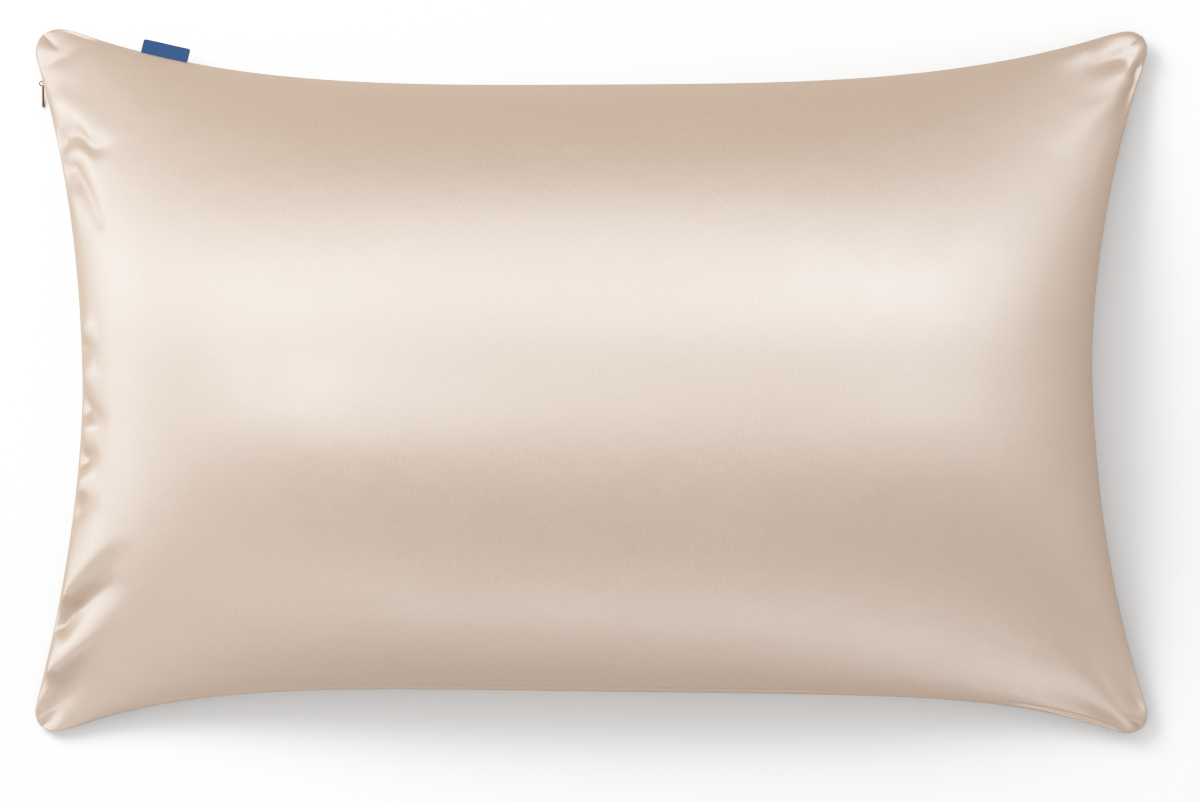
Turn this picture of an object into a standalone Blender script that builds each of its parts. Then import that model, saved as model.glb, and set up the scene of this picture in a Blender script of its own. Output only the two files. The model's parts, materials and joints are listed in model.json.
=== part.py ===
"""A zipped satin pillowcase, filled by a plump bed pillow and lying on its back.

Lengths are written in millimetres and become metres through MM. X runs along the
long sides with the zip at -X, Y runs across, and Z is up. The origin is on the
floor under the middle of the whole object.

Each panel of the case is described by u and v, which run from -1 to 1 along X and
Y from seam to seam.
"""

from collections import namedtuple
from math import acos, asin, cos, pi, radians, sin, sqrt

import bmesh
import bpy
from mathutils import Matrix, Vector

MM = 0.001

# ---------------------------------------------------------------- the filled case

THICKNESS = 150.0           # floor to crown, at the middle
LONG_SEAM_HEIGHT = 64.0     # seam above the floor, at the middle of a long side
SHORT_SEAM_HEIGHT = 48.0    # seam above the floor, at the middle of a short side
LONG_ROUNDNESS = 3.0        # higher is flatter along X before the panel turns down
SHORT_ROUNDNESS = 1.9       # the same along Y
LONG_TURN = 0.45            # higher is a softer turn into the short seams
SHORT_TURN = 0.8            # the same at the long seams
CONTACT = 0.75              # the underside lies on the floor where it is fuller than this
UNDERSIDE_TURN = 1.5        # how gently the underside leaves the floor

# A corner: the point where its two sides would cross if they weren't rounded, the
# radius of the rounding, and the height of the seam at the tip.
Corner = namedtuple("Corner", "x y radius height")
CORNERS = {
    (-1, 1): Corner(-383.0, 250.0, 16.0, 5.0),
    (1, 1): Corner(383.5, 245.0, 13.0, 12.0),
    (1, -1): Corner(384.5, -250.0, 13.5, 12.0),
    (-1, -1): Corner(-381.0, -247.0, 14.0, 7.0),
}

# A side: how far its middle draws in from the line between its corners, how much
# more it does so towards its +X or +Y end, and how long it stays drawn in on the way
# to its low and its high corner.
Side = namedtuple("Side", "draw_in lean low_power high_power")
TOP_SIDE = Side(49.2, -4.4, 3.2, 3.4)
BOTTOM_SIDE = Side(41.3, -3.5, 4.3, 5.5)
ZIP_SIDE = Side(42.3, -5.1, 1.6, 2.3)
PLAIN_SIDE = Side(47.7, 10.3, 2.4, 1.65)

# How the seam rises from a corner to the middle of a side.
LONG_RISE = (3.0, 1.4)
SHORT_RISE = (2.0, 1.8)

# A fold of the satin: its line in plan from a to b, half its width and its rise out
# of the surface at each end. A trough has a negative rise.
Fold = namedtuple("Fold", "xa ya xb yb width_a width_b rise_a rise_b")
FRONT_FOLDS = (
    # across the corner beside the tab
    Fold(-337.0, 231.0, -365.0, 214.0, 5.0, 5.0, 2.5, 2.5),
    Fold(-352.0, 232.0, -360.0, 224.0, 6.0, 6.0, -2.0, -2.0),
    # upper part of the zip side
    Fold(-354.0, 176.0, -334.0, 159.0, 5.0, 4.0, -5.0, -1.5),
    Fold(-355.0, 176.0, -357.0, 158.0, 5.0, 5.0, -4.0, -3.0),
    Fold(-351.0, 155.0, -330.0, 143.0, 6.5, 6.5, 4.0, 0.0),
    Fold(-347.0, 150.0, -328.0, 110.0, 4.5, 3.5, -5.5, -1.0),
    Fold(-346.0, 132.0, -338.0, 108.0, 5.0, 6.0, 2.5, 0.0),
    # middle of the zip side
    Fold(-341.0, 42.0, -335.0, 14.0, 5.0, 4.0, -4.0, -1.0),
    Fold(-340.0, 8.0, -326.0, -2.0, 6.0, 7.0, 4.5, 0.0),
    Fold(-340.0, -2.0, -330.0, -23.0, 5.0, 4.0, -5.0, -1.0),
    Fold(-341.0, -30.0, -331.0, -25.0, 5.0, 5.0, 3.5, 0.5),
    Fold(-341.0, -46.0, -329.0, -48.0, 6.0, 6.0, -5.0, 0.0),
    Fold(-343.0, -65.0, -328.0, -60.0, 6.0, 7.0, 4.5, 0.0),
    Fold(-344.0, -82.0, -322.0, -78.0, 5.0, 5.0, -4.0, 0.0),
    # lower part of the zip side
    Fold(-357.0, -147.0, -312.0, -90.0, 9.0, 9.0, 7.0, 0.0),
    Fold(-361.0, -163.0, -325.0, -140.0, 6.0, 6.0, -7.5, -1.0),
    Fold(-364.0, -180.0, -325.0, -150.0, 6.0, 7.0, 5.0, 0.0),
    Fold(-367.0, -195.0, -342.0, -187.0, 6.0, 6.0, -4.0, 0.0),
    Fold(-368.0, -207.0, -335.0, -195.0, 6.0, 6.0, 2.5, 0.0),
    # upper plain corner
    Fold(366.0, 228.0, 316.0, 168.0, 7.0, 9.0, 4.5, 0.0),
    Fold(370.0, 214.0, 360.0, 183.0, 5.0, 5.0, -4.5, 0.0),
    Fold(354.0, 227.0, 334.0, 205.0, 5.0, 6.0, -4.5, 0.0),
    Fold(362.0, 234.0, 322.0, 222.0, 4.5, 5.0, 3.0, 0.5),
    # lower plain corner
    Fold(361.0, -227.0, 317.0, -186.0, 9.0, 8.0, 4.0, 0.0),
    Fold(366.0, -214.0, 331.0, -153.0, 6.0, 6.0, -3.5, 0.0),
    Fold(354.0, -232.0, 308.0, -214.0, 6.0, 6.0, -2.5, 0.0),
)
BACK_FOLDS = (
    Fold(-352.0, 168.0, -318.0, 140.0, 6.0, 6.0, -5.0, 0.0),
    Fold(-348.0, 148.0, -312.0, 122.0, 7.0, 7.0, 4.0, 0.0),
    Fold(-341.0, 62.0, -308.0, 52.0, 6.0, 6.0, -4.0, 0.0),
    Fold(-340.0, 8.0, -305.0, 6.0, 7.0, 7.0, 4.0, 0.0),
    Fold(-341.0, -38.0, -306.0, -32.0, 6.0, 6.0, -4.5, 0.0),
    Fold(-346.0, -96.0, -314.0, -74.0, 7.0, 7.0, 4.5, 0.0),
    Fold(-356.0, -150.0, -318.0, -118.0, 6.0, 6.0, -6.0, 0.0),
    Fold(-361.0, -176.0, -326.0, -146.0, 7.0, 7.0, 4.0, 0.0),
    Fold(350.0, 205.0, 312.0, 166.0, 8.0, 8.0, 4.0, 0.0),
    Fold(350.0, -208.0, 312.0, -166.0, 8.0, 8.0, 4.0, 0.0),
)
FOLD_START = 0.12           # a fold has its whole rise where the panel is fuller than this
FLOOR_CLEARANCE = 4.0       # folds of the underside fade out this near the floor

GRID_ALONG = 36             # cells of a panel along X
GRID_ACROSS = 44            # cells of a panel along Y
EVEN_SHARE = 0.25           # across Y the cells are this even, the rest crowds to the seams
FINE_BEFORE = -0.6          # cells are halved between the zip side and this grid line,
FINE_WITHIN = 0.87          # apart from those beyond this one at both corners

# ----------------------------------------------------- sewn-in tab, at the top seam

TAB_LENGTH = 33.0           # along the seam
TAB_REACH = 8.7             # out from the seam
TAB_LAYER = 0.6             # one layer of the folded ribbon
TAB_PARTING = 0.3           # between its two layers
TAB_AT = -0.746             # u of its middle
TAB_DROOP = radians(8.0)

# --------------------------------------------------- zip slider and pull, at -X seam

SLIDER_AT = 0.801           # v of the slider
SLIDER_SIZE = (4.0, 7.0, 2.8)
SLIDER_EDGE = 0.4
SLIDER_BELOW_SEAM = 3.6
RING_OUTSIDE_SEAM = 1.0     # middle of the pull's ring, out from the seam
RING_RADIUS = 1.65          # to the middle of its wire
RING_WIRE = 0.45
BAIL_RADIUS = 1.55
BAIL_WIRE = 0.4
BAR_REACH = 15.7            # length of the bar as seen from above
BAR_SIDESTEP = 0.6          # the bar's line, inwards of the ring's middle
BAR_RADIUS_AT_RING = 0.75
BAR_RADIUS_AT_TIP = 1.05
TIP_ABOVE_FLOOR = 0.4
NOTCH_CLEARANCE = 0.35      # round the slider, in the seam
NOTCH_ROOF = 1.2            # satin left between the seam and the notch
NOTCH_DEPTH = 6.2

GAP = 0.3                   # between pieces that touch


# ------------------------------------------------------------------- form of the case

def between(low, high, t):
    """Value at t, which runs from -1 to 1."""
    return low + (high - low) * (1.0 + t) / 2.0


def bow(side, t):
    """Draw-in of a side at t, which runs from -1 to 1 between its corners."""
    power = side.low_power if t < 0.0 else side.high_power
    return (side.draw_in + side.lean * t) * (1.0 - abs(t) ** power)


def sharp_plan(u, v):
    """Plan position of a panel point, before the corners are rounded."""
    upper_zip, upper_plain = CORNERS[(-1, 1)], CORNERS[(1, 1)]
    lower_zip, lower_plain = CORNERS[(-1, -1)], CORNERS[(1, -1)]
    left = between(lower_zip.x, upper_zip.x, v) + bow(ZIP_SIDE, v)
    right = between(lower_plain.x, upper_plain.x, v) - bow(PLAIN_SIDE, v)
    bottom = between(lower_zip.y, lower_plain.y, u) + bow(BOTTOM_SIDE, u)
    top = between(upper_zip.y, upper_plain.y, u) - bow(TOP_SIDE, u)
    return Vector((between(left, right, u), between(bottom, top, v)))


def rounding(sign_u, sign_v):
    """Centre, inward bisector and half angle of a corner's rounding."""
    corner = CORNERS[(sign_u, sign_v)]
    tip = sharp_plan(sign_u, sign_v)
    step = 2.0 * corner.radius
    along_x = (sharp_plan(sign_u * (1.0 - step / abs(corner.x)), sign_v) - tip).normalized()
    along_y = (sharp_plan(sign_u, sign_v * (1.0 - step / abs(corner.y))) - tip).normalized()
    inward = (along_x + along_y).normalized()
    half_angle = acos(along_x.dot(along_y)) / 2.0
    return tip + inward * (corner.radius / sin(half_angle)), inward, half_angle


ROUNDINGS = {signs: rounding(*signs) for signs in CORNERS}


def plan(u, v):
    """Plan position of a panel point. Beyond a corner's centre, distances from it
    shrink so that the two sides become one arc."""
    point = sharp_plan(u, v)
    centre, inward, half_angle = ROUNDINGS[(1 if u >= 0 else -1, 1 if v >= 0 else -1)]
    arm = point - centre
    if arm.length == 0.0:
        return point
    off_bisector = acos(max(-1.0, min(1.0, -arm.dot(inward) / arm.length)))
    to_side = pi / 2.0 - half_angle
    if off_bisector >= to_side:
        return point
    return centre + arm * cos(to_side - off_bisector)


def seam_height(u, v):
    """Height of the seams, carried on across the panel: high along the sides, low
    at the corners, which droop towards the floor."""
    long_power, long_turn = LONG_RISE
    short_power, short_turn = SHORT_RISE
    along = max(0.0, 1.0 - abs(u) ** long_power) ** long_turn
    across = max(0.0, 1.0 - abs(v) ** short_power) ** short_turn
    share = 1.0 - (1.0 - along) * (1.0 - across)
    low = between(
        between(CORNERS[(-1, -1)].height, CORNERS[(-1, 1)].height, v),
        between(CORNERS[(1, -1)].height, CORNERS[(1, 1)].height, v),
        u,
    )
    high = SHORT_SEAM_HEIGHT + (LONG_SEAM_HEIGHT - SHORT_SEAM_HEIGHT) * along
    return low + (high - low) * share


def fullness(u, v):
    """How far a panel stands off the seams: 0 on them, 1 at the middle."""
    along = max(0.0, 1.0 - abs(u) ** LONG_ROUNDNESS)
    across = max(0.0, 1.0 - abs(v) ** SHORT_ROUNDNESS)
    return along ** LONG_TURN * across ** SHORT_TURN


def front_point(u, v):
    """Point of the upper panel."""
    crown = THICKNESS - LONG_SEAM_HEIGHT
    x, y = plan(u, v)
    return Vector((x, y, seam_height(u, v) + crown * fullness(u, v)))


def back_point(u, v):
    """Point of the underside, flat where it lies on the floor."""
    x, y = plan(u, v)
    clear = max(0.0, 1.0 - fullness(u, v) / CONTACT)
    return Vector((x, y, seam_height(u, v) * clear ** UNDERSIDE_TURN))


def fold_rise(folds, point):
    """Rise of the folds at a plan point: each is rounded across, and fades past its ends."""
    rise = 0.0
    for fold in folds:
        start = Vector((fold.xa, fold.ya))
        run = Vector((fold.xb, fold.yb)) - start
        t = max(0.0, min(1.0, (point - start).dot(run) / run.length_squared))
        off_line = (point - start - run * t).length
        width = fold.width_a + (fold.width_b - fold.width_a) * t
        rise += (fold.rise_a + (fold.rise_b - fold.rise_a) * t) * 2.0 ** -((off_line / width) ** 2)
    return rise


def smooth_step(t):
    t = max(0.0, min(1.0, t))
    return t * t * (3.0 - 2.0 * t)


def seam_frame(u, v, step_u, step_v):
    """Point on the seam, the seam's direction there, and the way out of the case."""
    before = front_point(u - step_u, v - step_v)
    after = front_point(u + step_u, v + step_v)
    along = (after - before).normalized()
    outward = Vector((-along.y, along.x, 0.0)).normalized()
    here = front_point(u, v)
    if outward.dot(here) < 0.0:
        outward = -outward
    return here, along, outward


# ------------------------------------------------------------------------- helpers

def clear_scene():
    for old in list(bpy.data.objects):
        bpy.data.objects.remove(old, do_unlink=True)


def collection(name):
    made = bpy.data.collections.new(name)
    bpy.context.scene.collection.children.link(made)
    return made


def finish(name, colour, roughness, metallic=0.0):
    """A plain finish for one kind of piece."""
    material = bpy.data.materials.new(name)
    material.use_nodes = True
    shader = material.node_tree.nodes["Principled BSDF"]
    shader.inputs["Base Color"].default_value = (*colour, 1.0)
    shader.inputs["Roughness"].default_value = roughness
    shader.inputs["Metallic"].default_value = metallic
    return material


def add_object(name, data, where, material):
    made = bpy.data.objects.new(name, data)
    where.objects.link(made)
    if material is not None:
        data.materials.append(material)
    return made


def mesh_from(bm, name):
    mesh = bpy.data.meshes.new(name)
    bm.to_mesh(mesh)
    bm.free()
    return mesh


def matrix_of(x_axis, y_axis, z_axis, origin):
    """Placement whose columns are three unit vectors and an origin in millimetres."""
    turn = Matrix((x_axis, y_axis, z_axis)).transposed().to_4x4()
    return Matrix.Translation(origin * MM) @ turn


def boolean(target, other, operation):
    step = target.modifiers.new(operation.title(), "BOOLEAN")
    step.operation = operation
    step.object = other


def hide_cutter(cutter):
    cutter.hide_render = True
    cutter.display_type = "WIRE"


# ----------------------------------------------------------------------- the pieces

def add_case(where, material):
    """The two panels on one grid, sewn to each other at its rim."""
    bm = bmesh.new()
    bmesh.ops.create_grid(bm, x_segments=GRID_ALONG, y_segments=GRID_ACROSS, size=1.0)
    strip = [
        edge for edge in bm.edges
        if all(vert.co.x < FINE_BEFORE and abs(vert.co.y) < FINE_WITHIN for vert in edge.verts)
    ]
    bmesh.ops.subdivide_edges(bm, edges=strip, cuts=1, use_grid_fill=True)
    front_verts = list(bm.verts)
    copied = bmesh.ops.duplicate(bm, geom=[*bm.verts, *bm.edges, *bm.faces])["geom"]
    back_verts = [item for item in copied if isinstance(item, bmesh.types.BMVert)]
    back_faces = [item for item in copied if isinstance(item, bmesh.types.BMFace)]
    bmesh.ops.reverse_faces(bm, faces=back_faces)

    spots = {}
    for verts, point_of in ((front_verts, front_point), (back_verts, back_point)):
        for vert in verts:
            u = sin(pi / 2.0 * vert.co.x)
            v = EVEN_SHARE * vert.co.y + (1.0 - EVEN_SHARE) * sin(pi / 2.0 * vert.co.y)
            spots[vert] = (u, v)
            vert.co = point_of(u, v)
    bm.normal_update()

    for verts, folds in ((front_verts, FRONT_FOLDS), (back_verts, BACK_FOLDS)):
        for vert in verts:
            rise = fold_rise(folds, vert.co.xy) * smooth_step(fullness(*spots[vert]) / FOLD_START)
            if verts is back_verts:
                rise *= smooth_step(vert.co.z / FLOOR_CLEARANCE)
            vert.co += vert.normal * rise
    for vert in bm.verts:
        vert.co *= MM
    bmesh.ops.remove_doubles(bm, verts=bm.verts, dist=1e-6)
    case = add_object("pillowcase", mesh_from(bm, "pillowcase"), where, material)
    case.data.shade_smooth()
    return case


def add_tab(where, material):
    """A ribbon folded in two, whose ends go into the seam. Its section is drawn flat
    and extruded along the seam."""
    half_u = TAB_LENGTH / 2.0 / abs(CORNERS[(-1, 1)].x)
    _, along, outward = seam_frame(TAB_AT, 1.0, half_u, 0.0)
    ends = [front_point(TAB_AT + side * half_u, 1.0) for side in (-1, 1)]
    root = (ends[0] + ends[1]) / 2.0
    outward = (outward * cos(TAB_DROOP) - Vector((0.0, 0.0, sin(TAB_DROOP)))).normalized()
    outward = (outward - along * outward.dot(along)).normalized()
    up = along.cross(outward)

    inner = TAB_PARTING / 2.0
    outer = inner + TAB_LAYER
    turn_at = TAB_REACH - outer
    bend = [radians(90.0 - 22.5 * step) for step in range(9)]
    section = [(0.0, outer)]
    section += [(turn_at + outer * cos(a), outer * sin(a)) for a in bend]
    section += [(0.0, -outer), (0.0, -inner)]
    section += [(turn_at + inner * cos(a), inner * sin(a)) for a in reversed(bend)]
    section += [(0.0, inner)]

    curve = bpy.data.curves.new("woven_tab", "CURVE")
    curve.dimensions = "2D"
    curve.fill_mode = "BOTH"
    curve.extrude = TAB_LENGTH / 2.0 * MM
    spline = curve.splines.new("POLY")
    spline.points.add(len(section) - 1)
    for spot, (x, y) in zip(spline.points, section):
        spot.co = (x * MM, y * MM, 0.0, 1.0)
    spline.use_cyclic_u = True
    tab = add_object("woven_tab", curve, where, material)
    tab.matrix_world = matrix_of(outward, up, -along, root + outward * GAP)
    return tab


def torus_mesh(name, radius, wire, around, across):
    """A wire ring in its own XY plane: a circle of wire turned round Z."""
    bm = bmesh.new()
    bmesh.ops.create_circle(
        bm, segments=across, radius=wire * MM,
        matrix=Matrix.Translation((radius * MM, 0.0, 0.0)) @ Matrix.Rotation(pi / 2.0, 4, "X"),
    )
    bmesh.ops.spin(
        bm, geom=[*bm.verts, *bm.edges], cent=(0.0, 0.0, 0.0), axis=(0.0, 0.0, 1.0),
        angle=2.0 * pi, steps=around,
    )
    bmesh.ops.remove_doubles(bm, verts=bm.verts, dist=1e-6)
    bmesh.ops.recalc_face_normals(bm, faces=bm.faces)
    return mesh_from(bm, name)


def slider_frame():
    """Middle of the pull's ring, the seam's direction and the way out, at the zip."""
    seam, along, outward = seam_frame(-1.0, SLIDER_AT, 0.0, 0.01)
    along = Vector((along.x, along.y, 0.0)).normalized()
    ring = seam + outward * RING_OUTSIDE_SEAM - Vector((0.0, 0.0, SLIDER_BELOW_SEAM))
    return ring, along, outward


def add_slider(where, cutters, material):
    """A small block in the seam, with a bail for the pull."""
    ring, along, outward = slider_frame()
    depth, length, height = (size * MM for size in SLIDER_SIZE)
    bail_middle = RING_RADIUS * MM
    block_middle = bail_middle + (BAIL_RADIUS + BAIL_WIRE) * MM - SLIDER_EDGE * MM + depth / 2.0
    placed = matrix_of(-outward, along, (-outward).cross(along), ring)

    bm = bmesh.new()
    bmesh.ops.create_cube(bm, size=1.0)
    bmesh.ops.scale(bm, vec=(depth, length, height), verts=bm.verts)
    bmesh.ops.translate(bm, vec=(block_middle, 0.0, 0.0), verts=bm.verts)
    slider = add_object("zip_slider", mesh_from(bm, "zip_slider"), where, material)
    slider.matrix_world = placed
    edge = slider.modifiers.new("Edge", "BEVEL")
    edge.width = SLIDER_EDGE * MM
    edge.segments = 2

    bail = add_object("bail", torus_mesh("bail", BAIL_RADIUS, BAIL_WIRE, 20, 8), cutters, None)
    bail.matrix_world = placed @ Matrix.Translation((bail_middle, 0.0, 0.0)) @ Matrix.Rotation(
        pi / 2.0, 4, "X"
    )
    hide_cutter(bail)
    boolean(slider, bail, "UNION")
    return slider


def add_pull(where, cutters, material):
    """A round bar with a ring at its head. The ring hangs in the slider's bail, and
    the tip lies just off the floor."""
    ring, _, _ = slider_frame()
    fall = ring.z - BAR_RADIUS_AT_TIP - TIP_ABOVE_FLOOR
    tilt = asin(fall / sqrt(fall * fall + BAR_REACH * BAR_REACH))
    length = BAR_REACH / cos(tilt)
    placed = Matrix.Translation(ring * MM) @ Matrix.Rotation(tilt, 4, "X")

    head = sqrt(RING_RADIUS ** 2 - BAR_SIDESTEP ** 2)
    tip = length - BAR_RADIUS_AT_TIP
    profile = [(0.0, -tip - BAR_RADIUS_AT_TIP)]
    for step in range(1, 4):
        angle = radians(30.0 * step)
        profile.append((BAR_RADIUS_AT_TIP * sin(angle), -tip - BAR_RADIUS_AT_TIP * cos(angle)))
    profile += [(BAR_RADIUS_AT_RING, -head - RING_WIRE), (BAR_RADIUS_AT_RING * 0.6, -head), (0.0, -head)]

    bm = bmesh.new()
    verts = [bm.verts.new((radius * MM, 0.0, along * MM)) for radius, along in reversed(profile)]
    for upper, lower in zip(verts, verts[1:]):
        bm.edges.new((upper, lower))
    pull = add_object("zip_pull", mesh_from(bm, "zip_pull"), where, material)
    pull.matrix_world = placed @ Matrix.Translation((BAR_SIDESTEP * MM, 0.0, 0.0)) @ Matrix.Rotation(
        -pi / 2.0, 4, "X"
    )
    turned = pull.modifiers.new("Turned", "SCREW")
    turned.steps = 16
    turned.render_steps = 16
    turned.use_merge_vertices = True
    turned.merge_threshold = 1e-6
    turned.use_smooth_shade = True

    loop = add_object("pull_ring", torus_mesh("pull_ring", RING_RADIUS, RING_WIRE, 24, 10), cutters, None)
    loop.matrix_world = placed
    hide_cutter(loop)
    boolean(pull, loop, "UNION")
    return pull


def cut_notch(case, cutters):
    """The opening in the seam where the slider sits, under a lip of satin."""
    ring, along, outward = slider_frame()
    depth, length, _ = SLIDER_SIZE
    inner = RING_RADIUS + BAIL_RADIUS + BAIL_WIRE - SLIDER_EDGE + depth + NOTCH_CLEARANCE
    outer = -RING_RADIUS - RING_WIRE
    roof = SLIDER_BELOW_SEAM - NOTCH_ROOF
    bm = bmesh.new()
    bmesh.ops.create_cube(bm, size=1.0)
    size = (inner - outer, length + 2.0 * NOTCH_CLEARANCE, NOTCH_DEPTH - NOTCH_ROOF)
    bmesh.ops.scale(bm, vec=Vector(size) * MM, verts=bm.verts)
    middle = Vector(((inner + outer) / 2.0, 0.0, roof - size[2] / 2.0))
    bmesh.ops.translate(bm, vec=middle * MM, verts=bm.verts)
    cutter = add_object("notch", mesh_from(bm, "notch"), cutters, None)
    z_axis = (-outward).cross(along)
    cutter.matrix_world = matrix_of(-outward, along, z_axis, ring)
    hide_cutter(cutter)
    boolean(case, cutter, "DIFFERENCE")


def centre_on_floor(case):
    """Moves everything so that the origin is under the middle of the case."""
    xs = [vert.co.x for vert in case.data.vertices]
    ys = [vert.co.y for vert in case.data.vertices]
    middle = Vector(((min(xs) + max(xs)) / 2.0, (min(ys) + max(ys)) / 2.0, 0.0))
    bpy.context.view_layer.update()
    for piece in bpy.data.objects:
        piece.matrix_world = Matrix.Translation(-middle) @ piece.matrix_world


def main():
    clear_scene()
    pieces = collection("Satin pillowcase")
    cutters = collection("Cutters")
    satin = finish("Champagne satin", (0.61, 0.50, 0.41), 0.4)
    ribbon = finish("Blue woven ribbon", (0.047, 0.102, 0.238), 0.8)
    brass = finish("Antique brass", (0.26, 0.15, 0.073), 0.35, metallic=1.0)
    case = add_case(pieces, satin)
    add_tab(pieces, ribbon)
    add_slider(pieces, cutters, brass)
    add_pull(pieces, cutters, brass)
    cut_notch(case, cutters)
    centre_on_floor(case)


main()
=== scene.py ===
import json
from collections import namedtuple
from math import acos, asin, cos, pi, radians, sin, sqrt

import bpy
import numpy as np
from bpy.props import FloatProperty, FloatVectorProperty, IntProperty, PointerProperty
from mathutils import Matrix, Vector

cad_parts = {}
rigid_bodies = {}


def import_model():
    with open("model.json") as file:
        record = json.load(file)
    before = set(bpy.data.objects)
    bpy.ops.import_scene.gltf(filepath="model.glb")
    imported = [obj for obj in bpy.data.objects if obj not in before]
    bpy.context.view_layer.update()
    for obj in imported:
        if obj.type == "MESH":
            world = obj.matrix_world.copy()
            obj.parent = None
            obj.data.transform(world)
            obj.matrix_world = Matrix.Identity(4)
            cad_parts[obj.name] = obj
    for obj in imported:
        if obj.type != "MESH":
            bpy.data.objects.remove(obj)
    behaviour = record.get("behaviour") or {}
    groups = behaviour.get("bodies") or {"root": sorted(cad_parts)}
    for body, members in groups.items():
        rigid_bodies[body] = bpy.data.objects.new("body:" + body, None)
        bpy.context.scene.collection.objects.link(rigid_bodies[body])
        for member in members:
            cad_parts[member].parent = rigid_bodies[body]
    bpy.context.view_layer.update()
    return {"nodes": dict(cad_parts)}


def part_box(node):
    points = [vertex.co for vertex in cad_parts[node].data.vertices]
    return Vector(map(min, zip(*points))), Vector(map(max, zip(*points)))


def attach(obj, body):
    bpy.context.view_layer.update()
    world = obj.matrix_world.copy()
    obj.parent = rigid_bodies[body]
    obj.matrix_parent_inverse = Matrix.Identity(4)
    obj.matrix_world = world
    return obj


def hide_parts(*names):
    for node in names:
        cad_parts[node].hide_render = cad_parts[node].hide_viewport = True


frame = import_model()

bl_info = {
    "name": "Satin Pillowcase",
    "version": (1, 0, 0),
    "blender": (4, 5, 0),
    "location": "View3D > Sidebar > Pillowcase",
    "description": "Builds a zipped satin pillowcase on a plump pillow, with its tab, zip pull and studio",
    "category": "Add Mesh",
}

CASE_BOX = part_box("pillowcase")
MM = 0.001

# ------------------------------------------------------------------ form of the case
# Lengths are millimetres. u and v run from -1 to 1 along X and Y, from seam to seam.

LONG_SEAM_HEIGHT = 64.0     # seam above the floor, at the middle of a long side
SHORT_SEAM_HEIGHT = 48.0    # seam above the floor, at the middle of a short side
LONG_ROUNDNESS = 3.0        # higher is flatter along X before the panel turns down
SHORT_ROUNDNESS = 1.9       # the same along Y
LONG_TURN = 0.45            # higher is a softer turn into the short seams
SHORT_TURN = 0.8            # the same at the long seams
CONTACT = 0.75              # the underside lies on the floor where it is fuller than this
UNDERSIDE_TURN = 1.5        # how gently the underside leaves the floor
CUT_SIZE = (0.76, 0.51)     # metres: the flat panel, along and across

# A corner: where its two sides would cross if they weren't rounded, the radius of the
# rounding, and the height of the seam at the tip.
Corner = namedtuple("Corner", "x y radius height")
CORNERS = {
    (-1, 1): Corner(-383.0, 250.0, 16.0, 5.0),
    (1, 1): Corner(383.5, 245.0, 13.0, 12.0),
    (1, -1): Corner(384.5, -250.0, 13.5, 12.0),
    (-1, -1): Corner(-381.0, -247.0, 14.0, 7.0),
}

# A side: how far its middle draws in, how much more it does so towards its +X or +Y
# end, and how long it stays drawn in on the way to its low and its high corner.
Side = namedtuple("Side", "draw_in lean low_power high_power")
TOP_SIDE = Side(49.2, -4.4, 3.2, 3.4)
BOTTOM_SIDE = Side(41.3, -3.5, 4.3, 5.5)
ZIP_SIDE = Side(42.3, -5.1, 1.6, 2.3)
PLAIN_SIDE = Side(47.7, 10.3, 2.4, 1.65)

# How the seam rises from a corner to the middle of a side.
LONG_RISE = (3.0, 1.4)
SHORT_RISE = (2.0, 1.8)

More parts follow.
